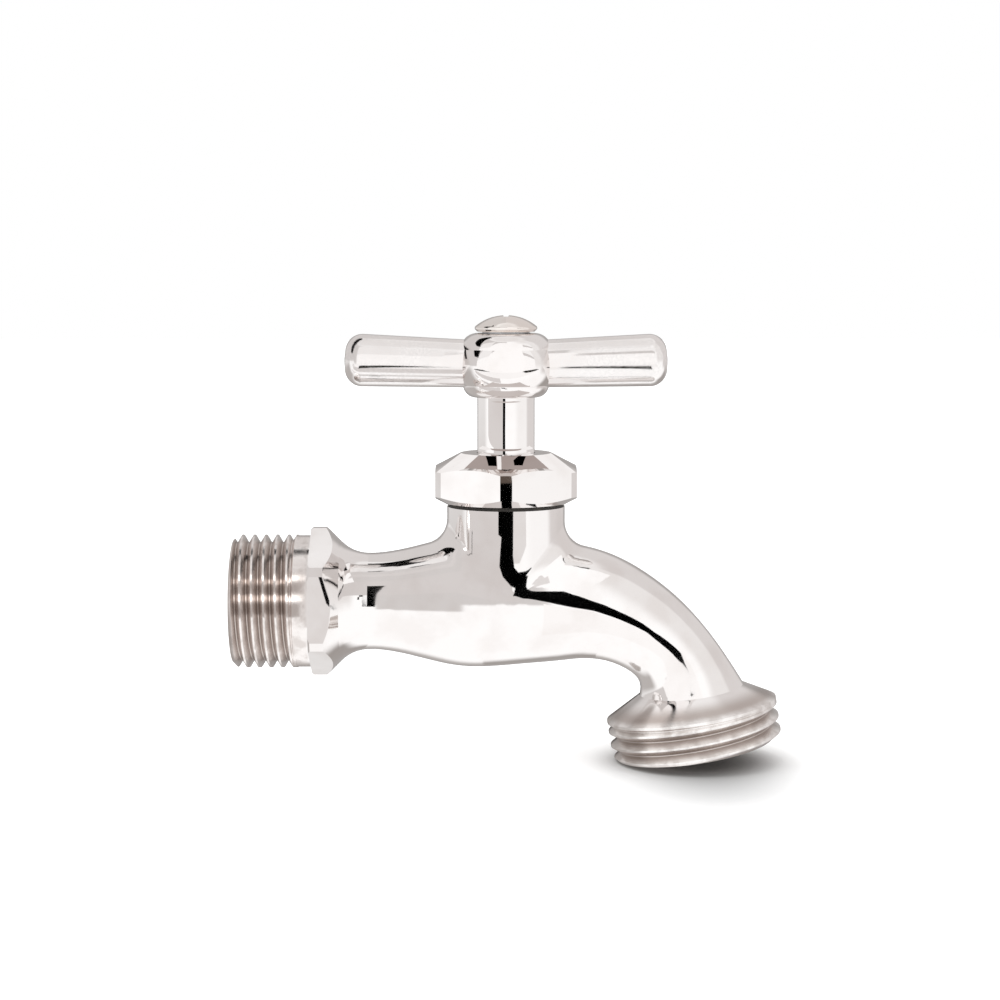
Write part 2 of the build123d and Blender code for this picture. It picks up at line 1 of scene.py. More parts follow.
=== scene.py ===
"""Dress the garden tap for its studio picture: metal finishes, light tent, floor and camera.

Lengths are in metres, except in the outlines of the cards, which are in millimetres.
"""

import logging
from dataclasses import dataclass
from enum import Enum
from math import cos, pi, radians, sin

import bpy
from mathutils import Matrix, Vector


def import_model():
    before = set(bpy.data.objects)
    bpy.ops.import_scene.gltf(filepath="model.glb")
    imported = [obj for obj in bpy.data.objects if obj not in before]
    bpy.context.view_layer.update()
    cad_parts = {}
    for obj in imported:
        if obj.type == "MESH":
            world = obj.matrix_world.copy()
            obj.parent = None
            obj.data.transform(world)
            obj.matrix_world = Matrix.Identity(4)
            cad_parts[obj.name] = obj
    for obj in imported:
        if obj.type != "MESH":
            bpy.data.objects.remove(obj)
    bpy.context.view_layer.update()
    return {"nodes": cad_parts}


log = logging.getLogger("garden_tap")

Colour = tuple[float, float, float]
Point = tuple[float, float, float]
Span = tuple[float, float]
Outline = tuple[tuple[float, float], ...]
Socket = bpy.types.NodeSocket

MM = 0.001
# The stem's axis stands this far from the inlet's end face.
STEM_X = 0.0429
WHITE: Colour = (1.0, 1.0, 1.0)
BLACK: Colour = (0.0, 0.0, 0.0)


class Nodes:
    """A hand that builds one node tree, of a material or of the world."""

    def __init__(self, tree: bpy.types.NodeTree, output: str = "OutputMaterial") -> None:
        """Empty the tree and give it an output node.

        Args:
            tree: the node tree to fill.
            output: the output node's type name without its ShaderNode prefix.
        """
        self.tree = tree
        self.tree.nodes.clear()
        self.output = self.add(output)

    @classmethod
    def material(cls, name: str) -> tuple[bpy.types.Material, "Nodes"]:
        """Make a new material.

        Args:
            name: the material's name.

        Returns:
            The material and the hand that fills its tree.
        """
        material = bpy.data.materials.new(name)
        material.use_nodes = True
        return material, cls(material.node_tree)

    def add(self, kind: str, **settings: object) -> bpy.types.Node:
        """Add a node and set its properties and input values.

        Args:
            kind: the node's type name without its ShaderNode prefix.
            settings: attributes of the node, or its input sockets by name with spaces as underscores.

        Returns:
            The new node.
        """
        node = self.tree.nodes.new("ShaderNode" + kind)
        for key, value in settings.items():
            if hasattr(node, key):
                setattr(node, key, value)
            else:
                node.inputs[key.replace("_", " ")].default_value = value
        return node

    def feed(self, node: bpy.types.Node, slot: int | str, value: object) -> None:
        """Give an input socket its value.

        Args:
            node: the node that has the socket.
            slot: the socket's number or name.
            value: another socket, a number or a colour.
        """
        target = node.inputs[slot]
        if isinstance(value, Socket):
            self.tree.links.new(value, target)
        elif isinstance(value, tuple) and target.type == "RGBA":
            target.default_value = (*value, 1.0)
        else:
            target.default_value = value

    def math(self, operation: str, *values: object) -> Socket:
        """Add a maths node.

        Args:
            operation: the operation's name.
            values: its operands, each a socket or a number.

        Returns:
            The result's socket.
        """
        node = self.add("Math", operation=operation)
        for slot, value in enumerate(values):
            self.feed(node, slot, value)
        return node.outputs[0]

    def distance(self, x: Socket, y: Socket) -> Socket:
        """Return the distance of a point from the origin of its plane."""
        squares = self.math("ADD", self.math("MULTIPLY", x, x), self.math("MULTIPLY", y, y))
        return self.math("SQRT", squares)

    def rings(self, along: Socket, pitch: float, height: float) -> Socket:
        """Return the relief of fine tool marks.

        Args:
            along: the place across the marks, in metres.
            pitch: the distance from one mark to the next.
            height: the marks' height over their mean.

        Returns:
            The height's socket.
        """
        wave = self.math("SINE", self.math("MULTIPLY", along, 2 * pi / pitch))
        return self.math("MULTIPLY", wave, height)

    def ramp(self, value: Socket, low: float, high: float, start: float = 0.0, end: float = 1.0) -> Socket:
        """Return a socket that goes smoothly from start at low to end at high.

        Args:
            value: the socket that is read.
            low: the reading where the change begins.
            high: the reading where it is complete.
            start: the result up to low.
            end: the result from high on.

        Returns:
            The result's socket.
        """
        node = self.add("MapRange", interpolation_type="SMOOTHSTEP")
        for slot, number in enumerate((value, low, high, start, end)):
            self.feed(node, slot, number)
        return node.outputs[0]

    def noise(self, coords: Socket, scale: float, detail: float = 3.0) -> Socket:
        """Return a noise value.

        Args:
            coords: where the noise is read.
            scale: its grains per metre.
            detail: how many finer noises are laid over it.

        Returns:
            The value's socket.
        """
        node = self.add("TexNoise", Scale=scale, Detail=detail)
        self.feed(node, "Vector", coords)
        return node.outputs["Fac"]

    def mix(self, factor: object, first: object, second: object) -> Socket:
        """Mix two colours, each a socket or a colour.

        Args:
            factor: a socket or a number.
            first: the colour at factor 0.
            second: the colour at factor 1.

        Returns:
            The mixed colour's socket.
        """
        node = self.add("Mix", data_type="RGBA")
        for slot, value in ((0, factor), (6, first), (7, second)):
            self.feed(node, slot, value)
        return node.outputs[2]

    def place(self, origin: Point = (0, 0, 0), turn: Point = (0, 0, 0), scale: Point = (1, 1, 1)) -> Socket:
        """Return object coordinates measured from an origin, along axes turned by these angles.

        Args:
            origin: the pattern's own centre, in metres.
            turn: the angles of its axes about X, Y and Z, in radians.
            scale: the pattern's size along each of its axes.

        Returns:
            The coordinates' socket.
        """
        coords = self.add("TexCoord")
        mapping = self.add("Mapping", vector_type="TEXTURE", Location=origin, Rotation=turn, Scale=scale)
        self.feed(mapping, "Vector", coords.outputs["Object"])
        return mapping.outputs["Vector"]

    def axes(self, coords: Socket) -> tuple[Socket, Socket, Socket]:
        """Split coordinates.

        Args:
            coords: the coordinates' socket.

        Returns:
            The sockets of X, Y and Z.
        """
        split = self.add("SeparateXYZ")
        self.feed(split, 0, coords)
        return split.outputs[0], split.outputs[1], split.outputs[2]

    def surface(self, colour: object, roughness: object, relief: Socket, metallic: float = 1.0) -> None:
        """Give the material its surface.

        Args:
            colour: the base colour, a socket or a colour.
            roughness: a socket or a number.
            relief: the height of the surface's fine relief, in metres.
            metallic: 1 for metal, 0 for rubber.
        """
        shader = self.add("BsdfPrincipled", Metallic=metallic)
        self.feed(shader, "Base Color", colour)
        self.feed(shader, "Roughness", roughness)
        bump = self.add("Bump", Strength=1.0, Distance=1.0)
        self.feed(bump, "Height", relief)
        self.feed(shader, "Normal", bump.outputs["Normal"])
        self.close(shader)

    def close(self, shader: bpy.types.Node) -> None:
        """Join the shader to the tree's output."""
        self.feed(self.output, "Surface", shader.outputs[0])


@dataclass(frozen=True)
class Finish:
    """The look of one kind of surface, from patterns on object coordinates."""

    name: str

    def fill(self, n: Nodes) -> None:
        """Fill the tree of the finish's material."""
        raise NotImplementedError

    def build(self) -> bpy.types.Material:
        """Make the material.

        Returns:
            The material, with its tree filled.
        """
        material, n = Nodes.material(self.name)
        self.fill(n)
        return material


@dataclass(frozen=True)
class PolishedPlate(Finish):
    """Nickel-chrome plate: a mirror with the faint waves that buffing leaves."""

    name: str = "polished_plate"
    colour: Colour = (0.91, 0.885, 0.875)
    shade: Colour = (0.86, 0.825, 0.81)
    cloud_scale: float = 160.0
    cloud_edges: Span = (0.42, 0.68)
    roughness: float = 0.03
    spot_scale: float = 900.0
    spot_dull: float = 0.04
    wave: float = 0.00003
    wave_scale: float = 150.0
    wave_detail: float = 1.5

    def colour_of(self, n: Nodes, coords: Socket) -> Socket:
        """Return the plate's colour, with the cloudy shade that old nickel has."""
        cloud = n.ramp(n.noise(coords, self.cloud_scale), *self.cloud_edges)
        return n.mix(cloud, self.colour, self.shade)

    def rough_of(self, n: Nodes, coords: Socket) -> Socket:
        """Return the plate's roughness, a little dull in spots."""
        spots = n.noise(coords, self.spot_scale)
        return n.math("MULTIPLY_ADD", spots, self.spot_dull, self.roughness - self.spot_dull / 2)

    def relief_of(self, n: Nodes, coords: Socket) -> Socket:
        """Return the buffing waves' height, in metres."""
        return n.math("MULTIPLY", n.noise(coords, self.wave_scale, self.wave_detail), self.wave)

    def fill(self, n: Nodes) -> None:
        """Fill the tree with the plain plate."""
        coords = n.place()
        n.surface(self.colour_of(n, coords), self.rough_of(n, coords), self.relief_of(n, coords))


@dataclass(frozen=True)
class TurnedEnd:
    """One lathe-turned end of the body, left duller than the plate around it.

    Its own frame has its origin in the middle of the end face and Z along its axis, into the body.
    The mask's edge outside the crests is given as shares of their radius. The root colour is a painted
    shade in the thread roots, which lightens to the turned colour at the crests.
    """

    origin: Point
    turn: Point
    length: float
    fade: float
    root_radius: float
    crest_radius: float
    # turned is the crests' metal; root is a painted shade in the thread roots.
    turned: Colour
    root: Colour
    mask_edge: Span = (1.15, 1.2)
    ring_pitch: float = 0.00016
    ring_height: float = 0.0000012

    def masks(self, n: Nodes) -> tuple[Socket, Socket, Socket]:
        """Return where the end is, how near its crests a point is, and its tool marks' height.

        Args:
            n: the material's tree.

        Returns:
            Three sockets: the end's mask, the crest's share and the relief in metres.
        """
        x, y, z = n.axes(n.place(self.origin, self.turn))
        radius = n.distance(x, y)
        inner, outer = (self.crest_radius * share for share in self.mask_edge)
        along = n.ramp(z, self.length, self.length + self.fade, 1.0, 0.0)
        mask = n.math("MULTIPLY", along, n.ramp(radius, inner, outer, 1.0, 0.0))
        crest = n.ramp(radius, self.root_radius, self.crest_radius)
        return mask, crest, n.rings(z, self.ring_pitch, self.ring_height)


@dataclass(frozen=True)
class BodyPlate(PolishedPlate):
    """The body's plate, over a polished casting with two duller turned ends."""

    name: str = "body_plate"
    roughness: float = 0.065
    ends: tuple[TurnedEnd, ...] = ()
    turned_roughness: float = 0.17
    stain_scale: float = 420.0
    stain_edges: Span = (0.35, 0.7)
    stain_dull: float = 0.1
    stained_crest: float = 0.5

    def fill(self, n: Nodes) -> None:
        """Fill the tree with the plate and the ends' duller metal.

        Args:
            n: the material's tree.
        """
        coords = n.place()
        colour = self.colour_of(n, coords)
        rough = self.rough_of(n, coords)
        relief = self.relief_of(n, coords)
        stain = n.ramp(n.noise(coords, self.stain_scale), *self.stain_edges)
        for end in self.ends:
            mask, crest, rings = end.masks(n)
            # Painted shade in the thread roots, lightening to the turned metal at the crests, which stains
            # dim.
            bright = n.math("MULTIPLY", crest, n.ramp(stain, 0.0, 1.0, 1.0, self.stained_crest))
            colour = n.mix(mask, colour, n.mix(bright, end.root, end.turned))
            dull = n.math("MULTIPLY_ADD", stain, self.stain_dull, self.turned_roughness)
            rough = n.math("MULTIPLY_ADD", mask, n.math("SUBTRACT", dull, rough), rough)
            relief = n.math("MULTIPLY_ADD", mask, rings, relief)
        n.surface(colour, rough, relief)


@dataclass(frozen=True)
class HandlePlate(PolishedPlate):
    """The handle's plate: bright on the hub, over the casting's fine skin on the bars."""

    name: str = "handle_plate"
    roughness: float = 0.065
    hub_radius: float = 0.0070
    hub_fade: float = 0.001
    bar_colour: Colour = (0.86, 0.835, 0.825)
    bar_roughness: float = 0.11
    grain_scale: float = 2600.0
    grain_detail: float = 2.0
    grain_edges: Span = (0.3, 0.7)
    patch_scale: float = 300.0
    patch_edges: Span = (0.4, 0.65)
    patch_dull: float = 0.08
    skin: float = 0.000006

    def fill(self, n: Nodes) -> None:
        """Fill the tree with the hub's plate and the bars' skin.

        Args:
            n: the material's tree.
        """
        coords = n.place((STEM_X, 0.0, 0.0))
        across = n.math("ABSOLUTE", n.axes(coords)[0])
        bar = n.ramp(across, self.hub_radius, self.hub_radius + self.hub_fade)
        grain = n.noise(coords, self.grain_scale, self.grain_detail)
        patches = n.ramp(n.noise(coords, self.patch_scale), *self.patch_edges)
        grey = n.math("MULTIPLY", bar, n.ramp(grain, *self.grain_edges))
        colour = n.mix(grey, self.colour_of(n, coords), self.bar_colour)
        plain = self.rough_of(n, coords)
        dull = n.math("MULTIPLY_ADD", patches, self.patch_dull, self.bar_roughness)
        rough = n.math("MULTIPLY_ADD", bar, n.math("SUBTRACT", dull, plain), plain)
        skin = n.math("MULTIPLY", n.math("MULTIPLY", grain, patches), self.skin)
        relief = n.math("MULTIPLY_ADD", bar, skin, self.relief_of(n, coords))
        n.surface(colour, rough, relief)


@dataclass(frozen=True)
class TurnedMetal(Finish):
    """Bare turned metal: fine rings round the stem's axis and a tarnished cloud."""

    name: str = "turned_brass"
    colour: Colour = (0.80, 0.60, 0.30)
    tarnish: Colour = (0.55, 0.37, 0.17)
    clean_roughness: float = 0.16
    cloud_scale: float = 500.0
    cloud_edges: Span = (0.4, 0.75)
    cloud_dull: float = 0.2
    ring_pitch: float = 0.00018
    ring_height: float = 0.0000015

    def fill(self, n: Nodes) -> None:
        """Fill the tree with the turned metal.

        Args:
            n: the material's tree.
        """
        coords = n.place((STEM_X, 0.0, 0.0))
        x, y, z = n.axes(coords)
        cloud = n.noise(coords, self.cloud_scale)
        colour = n.mix(n.ramp(cloud, *self.cloud_edges), self.colour, self.tarnish)
        rough = n.math("MULTIPLY_ADD", cloud, self.cloud_dull, self.clean_roughness)
        marks = n.rings(n.math("ADD", n.distance(x, y), z), self.ring_pitch, self.ring_height)
        n.surface(colour, rough, marks)


@dataclass(frozen=True)
class DarkRubber(Finish):
    """Dark rubber or fibre sheet with a matt, finely grained face."""

    name: str = "black_rubber"
    colour: Colour = (0.022, 0.022, 0.022)
    bloom: Colour = (0.05, 0.048, 0.045)
    smoothest: float = 0.45
    bloom_scale: float = 350.0
    bloom_edges: Span = (0.4, 0.7)
    grain: float = 0.000012
    grain_scale: float = 3500.0
    grain_detail: float = 4.0
    grain_dull: float = 0.25

    def fill(self, n: Nodes) -> None:
        """Fill the tree with the rubber.

        Args:
            n: the material's tree.
        """
        coords = n.place()
        grain = n.noise(coords, self.grain_scale, self.grain_detail)
        cloud = n.ramp(n.noise(coords, self.bloom_scale), *self.bloom_edges)
        colour = n.mix(cloud, self.colour, self.bloom)
        rough = n.math("MULTIPLY_ADD", grain, self.grain_dull, self.smoothest)
        n.surface(colour, rough, n.math("MULTIPLY", grain, self.grain), 0.0)


@dataclass(frozen=True)
class Patch:
    """A soft-edged field of one shade in the tent, in degrees seen from the tap.

    Azimuth 0 looks from the tap to the camera and grows to the right. Rise is the height above
    the horizon.
    """

    shade: Colour
    azimuth: Span = (-400.0, 400.0)
    rise: Span = (-100.0, 100.0)
    softness: float = 6.0


LEFT_WALL = Patch((0.70, 0.675, 0.665), azimuth=(-200, 4), rise=(-1, 66), softness=5)

PATCHES: tuple[Patch, ...] = (
    LEFT_WALL,
    # The right wall, and the darker wall behind it.
    Patch((0.90, 0.88, 0.87), azimuth=(42, 95), rise=(-4, 70), softness=24),
    Patch((0.75, 0.72, 0.71), azimuth=(92, 200), rise=(-16, 66), softness=14),
    # The roof.
    Patch((0.88, 0.86, 0.852), rise=(68, 100), softness=12),
    # The lower left and the lower right behind the tap.
    Patch((0.52, 0.495, 0.48), azimuth=(-200, -88), rise=(-50, -4), softness=22),
    Patch((0.40, 0.375, 0.36), azimuth=(118, 200), rise=(-56, -12), softness=20),
    # The band left of the camera, at the height of the tap.
    Patch((0.70, 0.675, 0.665), azimuth=(-50, -8), rise=(-12, 4), softness=4),
    # The back, right and left of straight behind the tap, and a dark gap left of that.
    Patch((0.42, 0.40, 0.39), azimuth=(152, 400), rise=(-34, 22), softness=16),
    Patch((0.42, 0.40, 0.39), azimuth=(-400, -152), rise=(-34, 22), softness=16),
    Patch((0.05, 0.045, 0.04), azimuth=(-400, -168), rise=(-14, 2), softness=5),
)


class Side(Enum):
    """How a card hangs: upright in front of the tap, or level like a ceiling."""

    FRONT = "front"
    CEILING = "ceiling"


@dataclass(frozen=True)
class Card:
    """A flat card of one shade near the tap that only mirrors see.

    The outline is in millimetres: to the right of the stem, and upwards from the inlet's axis
    for a front card or backwards for a ceiling card. Distance is how far before or above that
    axis the card hangs. A ceiling card with an underside has its outline counterclockwise.
    """

    name: str
    side: Side
    distance: float
    outline: Outline
    shade: Colour = BLACK
    underside: Colour | None = None

    def corners(self) -> list[Point]:
        """Work out the card's corners.

        Returns:
            The corners in metres, in the outline's order.
        """
        if self.side is Side.FRONT:
            return [(STEM_X + x * MM, -self.distance * MM, z * MM) for x, z in self.outline]
        return [(STEM_X + x * MM, y * MM, self.distance * MM) for x, y in self.outline]

    def material(self) -> bpy.types.Material:
        """Make the card's material.

        Returns:
            The material, with the underside's own shade where it has one.
        """
        material, n = Nodes.material(self.name)
        glow: object = self.shade
        if self.underside is not None:
            below = n.add("NewGeometry").outputs["Backfacing"]
            glow = n.mix(below, self.shade, self.underside)
        shader = n.add("Emission")
        n.feed(shader, "Color", glow)
        n.close(shader)
        return material

    def build(self) -> None:
        """Hang the card."""
        bpy.ops.mesh.primitive_circle_add(vertices=len(self.outline), fill_type="NGON")
        card = bpy.context.object
        card.name = self.name
        for vertex, corner in zip(card.data.vertices, self.corners()):
            vertex.co = corner
        card.data.materials.append(self.material())
        card.visible_camera = card.visible_diffuse = card.visible_shadow = False
        card.visible_transmission = False
        log.info("tent: %s", self.name)


def rectangle(left: float, low: float, right: float, high: float) -> Outline:
    """Return the outline of an upright rectangle."""
    return (left, low), (right, low), (right, high), (left, high)


# Planes of the front cards. Where two cards overlap, the tap sees the one in the nearer plane.
NEAR = 14
BEHIND = 14.2
FAR = 60

# Heights of the ceiling cards over the inlet's axis.
CONE_LOWER = 23.95
CONE_UPPER = 24
HUB_FOOT = 31.5
SHELF_TOP = 33.6
ROOF = 120

PALE: Colour = (0.82, 0.795, 0.785)
BRIGHT: Colour = (1.08, 1.07, 1.065)
NUT_BRIGHT: Colour = (1.0, 0.985, 0.98)
ROOT_SHADE: Colour = (0.46, 0.42, 0.40)
LINE_SHADE: Colour = (0.02, 0.018, 0.015)

# The black streak from boss to spout, the tones beside it, and the neck's and collar's marks.
BODY_CARDS: tuple[Card, ...] = (
    Card(
        "flag_streak",
        Side.FRONT,
        NEAR,
        (
            (-2.5, 14.9), (2.3, 14.9), (2.2, 7.6), (2.6, 5.8), (4, 5), (7, 5), (10, 5.3), (18, 1.1),
            (24.2, -2.6), (26, -4.4), (30.2, -6.2), (29.2, -7.9), (27.6, -8.4), (25.4, -7.6),
            (24.2, -5.8), (20, -3.6), (15.5, -1.2), (10, 0.4), (5, 2), (1.5, 2.9), (-1, 4.4),
            (-2.1, 6), (-1.5, 10.6), (-2.5, 11),
        ),
    ),
    Card(
        "card_boss_left",
        Side.FRONT,
        BEHIND,
        ((-70, 5), (-9, 4.4), (-2.4, 2), (2, 1.5), (2, 3.2), (-1.6, 5), (-1.6, 14.9), (-70, 14.9)),
        (0.72, 0.69, 0.68),
    ),
    Card(
        "card_boss",
        Side.FRONT,
        BEHIND,
        ((2.3, 14.9), (2.3, 6.4), (4.5, 6.4), (7.5, 9), (7.5, 14.9)),
        PALE,
    ),
    Card(
        "card_spout_root",
        Side.FRONT,
        BEHIND,
        (
            (6, 1), (10, -0.4), (15.5, -1.8), (20, -4.2), (24, -6), (31, -6), (33, -9), (27, -11),
            (20, -13.5), (6, -13.5),
        ),
        BRIGHT,
    ),
    Card("flag_neck", Side.FRONT, NEAR, rectangle(-22.3, -0.5, -21.1, 10)),
    Card(
        "flag_collar",
        Side.FRONT,
        NEAR,
        ((-29.2, 5.2), (-28.7, 5.2), (-27.4, 1), (-27.4, 0), (-27.9, 0.6)),
    ),
)

# The stem's dark line, the hub's and the bars' tones, and the fine dark line along each bar.
HANDLE_CARDS: tuple[Card, ...] = (
    Card("flag_stem", Side.FRONT, FAR, rectangle(-13, 18.3, -3, 31)),
    Card(
        "card_hub",
        Side.FRONT,
        NEAR,
        ((-12, 33.8), (9, 33.8), (11, 52), (-4, 53), (-9, 47)),
        (1.1, 1.09, 1.085),
    ),
    Card(
        "card_hub_low",
        Side.CEILING,
        HUB_FOOT,
        ((-5.6, -5.4), (5.6, -5.4), (4, -8.8), (-4, -8.8)),
        (0.62, 0.57, 0.55),
    ),
    Card("card_bar_left", Side.FRONT, BEHIND, ((-30, 34), (-9, 34), (-9, 45), (-30, 44.5)), BRIGHT),
    Card(
        "card_bar_left_top",
        Side.FRONT,
        BEHIND,
        ((-30, 44.5), (-9, 45), (-9, 62), (-30, 62)),
        (0.96, 0.945, 0.94),
    ),
    Card("card_bar_right", Side.FRONT, BEHIND, ((9, 34), (30, 34), (30, 46.5), (9, 46)), BRIGHT),
    Card(
        "flag_bar_band",
        Side.FRONT,
        BEHIND,
        ((9, 46), (30, 46.5), (30, 50), (9, 49.5)),
        (0.66, 0.63, 0.62),
    ),
    Card(
        "card_bar_right_top",
        Side.FRONT,
        BEHIND,
        ((9, 49.5), (30, 50), (30, 62), (9, 62)),
        (1.0, 0.99, 0.985),
    ),
    Card(
        "flag_bar_left",
        Side.CEILING,
        SHELF_TOP,
        ((-25, -8.2), (-8.5, -14.2), (-8.5, -19.2), (-25, -12.6)),
        LINE_SHADE,
    ),
    Card(
        "flag_bar_right",
        Side.CEILING,
        SHELF_TOP,
        ((8.5, -11.8), (24, -7.6), (24, -11.8), (8.5, -16.6)),
        LINE_SHADE,
    ),
)

# The collar's tone, and the bright and dark bands on the inlet's thread.
INLET_CARDS: tuple[Card, ...] = (
    Card(
        "card_collar",
        Side.FRONT,
        BEHIND,
        ((-31.8, 5.8), (-28, 5.8), (-27.2, 0), (-28, -6.2), (-31.8, -6.2)),
        PALE,
    ),
    Card("card_thread_high", Side.FRONT, NEAR, rectangle(-44, 9, -31.9, 11.5), (2.4, 2.35, 2.3)),
    Card("flag_thread_high", Side.FRONT, NEAR, rectangle(-44, 4, -31.9, 8.4), ROOT_SHADE),
    Card("card_thread_low", Side.FRONT, NEAR, rectangle(-44, 1.9, -31.9, 3.6), (2.2, 2.15, 2.1)),
    Card("flag_thread_low", Side.FRONT, NEAR, rectangle(-44, -2.5, -31.9, 1.2), ROOT_SHADE),
)

# The stem's grey side, the nut's dark corner, and the dark and bright fields of its cone.
NUT_CARDS: tuple[Card, ...] = (
    Card("card_stem_left", Side.FRONT, NEAR, rectangle(-45, 23.3, -3, 33.2), (0.74, 0.71, 0.70)),
    Card("flag_nut_corner", Side.FRONT, FAR, ((-4, 10.8), (1.7, 10.8), (1.5, 15.2), (-4, 15.2))),
    Card(
        "flag_nut_corner_top",
        Side.FRONT,
        FAR,
        ((-4, 15.2), (1.5, 15.2), (0.7, 17.9), (-4, 17.9)),
        (0.11, 0.085, 0.07),
    ),
    Card(
        "card_cone",
        Side.CEILING,
        CONE_UPPER,
        (
            (-7.4, -6.1), (-4.3, -5.2), (4.3, -5.2), (7.6, -6), (4.6, -8.1), (2.5, -9), (0, -9.2),
            (-2.5, -9), (-4.8, -8),
        ),
        (0.42, 0.36, 0.34),
    ),
    Card(
        "card_cone_left",
        Side.CEILING,
        CONE_UPPER,
        ((-13.5, 1), (-7, 2), (-4.3, -5.1), (-7.4, -6.2), (-10.5, -4.5)),
        NUT_BRIGHT,
    ),
    Card(
        "card_cone_right",
        Side.CEILING,
        CONE_UPPER,
        ((13.5, 1), (7, 2), (4.3, -5.1), (7.6, -6.1), (10.5, -4.5)),
        NUT_BRIGHT,
    ),
    Card(
        "flag_cone_left",
        Side.CEILING,
        CONE_LOWER,
        ((-3.3, -6), (-1.6, -6.4), (-1.6, -8.5), (-3, -8.1)),
    ),
    Card(
        "flag_cone_right",
        Side.CEILING,
        CONE_LOWER,
        ((1.2, -7.5), (2, -6.5), (3.2, -6.2), (2.8, -8.1), (1.4, -8.4)),
    ),
    Card(
        "card_cone_gap",
        Side.CEILING,
        CONE_LOWER,
        ((-1.5, -6.4), (-0.8, -6.4), (-0.8, -9.2), (-1.5, -9.1)),
        NUT_BRIGHT,
    ),
)

# The dark field high on the left, for the streak along the top of the neck.
ROOM_CARDS: tuple[Card, ...] = (
    Card(
        "flag_ceiling",
        Side.CEILING,
        ROOF,
        ((-200, -70), (-60, -4), (-26, 16), (-26, 34), (-60, 36), (-120, 20), (-200, -20)),
    ),
)

CARDS = BODY_CARDS + HANDLE_CARDS + INLET_CARDS + NUT_CARDS + ROOM_CARDS


@dataclass(frozen=True)
class Shelf:
    """White card in two halves just under the handle's bars, which hides the front cards from them.

    Its sizes are in millimetres. Each half's underside has the tent's shade on that side.
    """

    height: float = 33.5
    front: float = -59.0
    back: float = -9.5
    left: float = -34.0
    split: float = -2.0
    right: float = 34.0
    shade: Colour = (1.05, 1.04, 1.035)

    def build(self, tent_left: Colour, tent_right: Colour) -> None:
        """Hang both halves.

        Args:
            tent_left: the underside of the left half.
            tent_right: the underside of the right half.
        """
        for name, low, high, underside in (
            ("shelf_left", self.left, self.split, tent_left),
            ("shelf_right", self.split, self.right, tent_right),
        ):
            outline = rectangle(low, self.front, high, self.back)
            Card(name, Side.CEILING, self.height, outline, self.shade, underside).build()


@dataclass(frozen=True)
class Floor:
    """Pale floor at the outlet's lowest point, with a painted shadow under the outlet.

    The camera sees it white, matt surfaces get a plain level of light from it, and mirrors see
    the tent in its place. The centre and the size are those of the shade's ellipse.
    """

    height: float = -0.0255
    width: float = 4.0
    contact_reach: float = 0.016
    contact_samples: int = 8
    # contact_open and contact_shade set the painted contact shadow, where ambient occlusion darkens the
    # colour near the tap.
    contact_open: float = 0.9
    contact_shade: float = 0.25
    # The painted shadow: a soft ellipse under the outlet, its darkest share in the middle.
    painted_shadow_centre: Point = (0.0745, -0.008, 0.0)
    painted_shadow_size: Point = (0.0205, 0.043, 1.0)
    shade: float = 0.42
    plain_light: float = 0.85
    seen_light: float = 1.35

    def build(self) -> None:
        """Lay the floor."""
        bpy.ops.mesh.primitive_plane_add(size=self.width, location=(0, 0, self.height))
        floor = bpy.context.object
        floor.name = "floor"
        material, n = Nodes.material("floor_paper")
        # Painted contact shadow: the colour darkens where ambient occlusion finds the tap near.
        near = n.add("AmbientOcclusion", samples=self.contact_samples, Distance=self.contact_reach)
        painted_contact_shadow = n.ramp(near.outputs["AO"], 0.0, self.contact_open, self.contact_shade, 1.0)
        # Painted shadow: a soft ellipse under the outlet darkens the colour.
        x, y, _ = n.axes(n.place(self.painted_shadow_centre, scale=self.painted_shadow_size))
        painted_shadow = n.ramp(n.distance(x, y), 0.0, 1.0, self.shade, 1.0)
        to_camera = n.add("LightPath").outputs["Is Camera Ray"]
        light = n.ramp(to_camera, 0.0, 1.0, self.plain_light, self.seen_light)
        shader = n.add("BsdfDiffuse")
        n.feed(shader, "Color", n.math("MULTIPLY", light, n.math("MULTIPLY", painted_contact_shadow, painted_shadow)))
        n.close(shader)
        floor.data.materials.append(material)
        floor.visible_glossy = False
        log.info("tent: floor")


@dataclass(frozen=True)
class Tent:
    """White light tent whose darker fields and cards draw the streaks in the plate."""

    open_shade: Colour = (1.12, 1.12, 1.12)
    patches: tuple[Patch, ...] = PATCHES
    cards: tuple[Card, ...] = CARDS
    floor: Floor = Floor()
    shelf: Shelf = Shelf()

    def build(self) -> None:
        """Make the world, the floor, the cards and the shelf."""
        self.make_world()
        self.floor.build()
        for card in self.cards:
            card.build()
        self.shelf.build(LEFT_WALL.shade, self.open_shade)

    def make_world(self) -> None:
        """Make the world: white to camera and matt surfaces, with the tent's fields to mirrors."""
        world = bpy.data.worlds.new("tent")
        bpy.context.scene.world = world
        world.use_nodes = True
        n = Nodes(world.node_tree, "OutputWorld")
        x, y, z = n.axes(n.add("TexCoord").outputs["Generated"])
        to_degrees = 180.0 / pi
        azimuth = n.math("MULTIPLY", n.math("ARCTAN2", x, n.math("MULTIPLY", y, -1.0)), to_degrees)
        rise = n.math("MULTIPLY", n.math("ARCSINE", z), to_degrees)
        colour: object = self.open_shade
        for patch in self.patches:
            half = patch.softness / 2
            mask: object = 1.0
            for angle, (low, high) in ((azimuth, patch.azimuth), (rise, patch.rise)):
                mask = n.math("MULTIPLY", mask, n.ramp(angle, low - half, low + half))
                mask = n.math("MULTIPLY", mask, n.ramp(angle, high - half, high + half, 1.0, 0.0))
            colour = n.mix(mask, colour, patch.shade)
        background = n.add("Background")
        n.feed(background, "Color", n.mix(n.add("LightPath").outputs["Is Glossy Ray"], WHITE, colour))
        n.close(background)


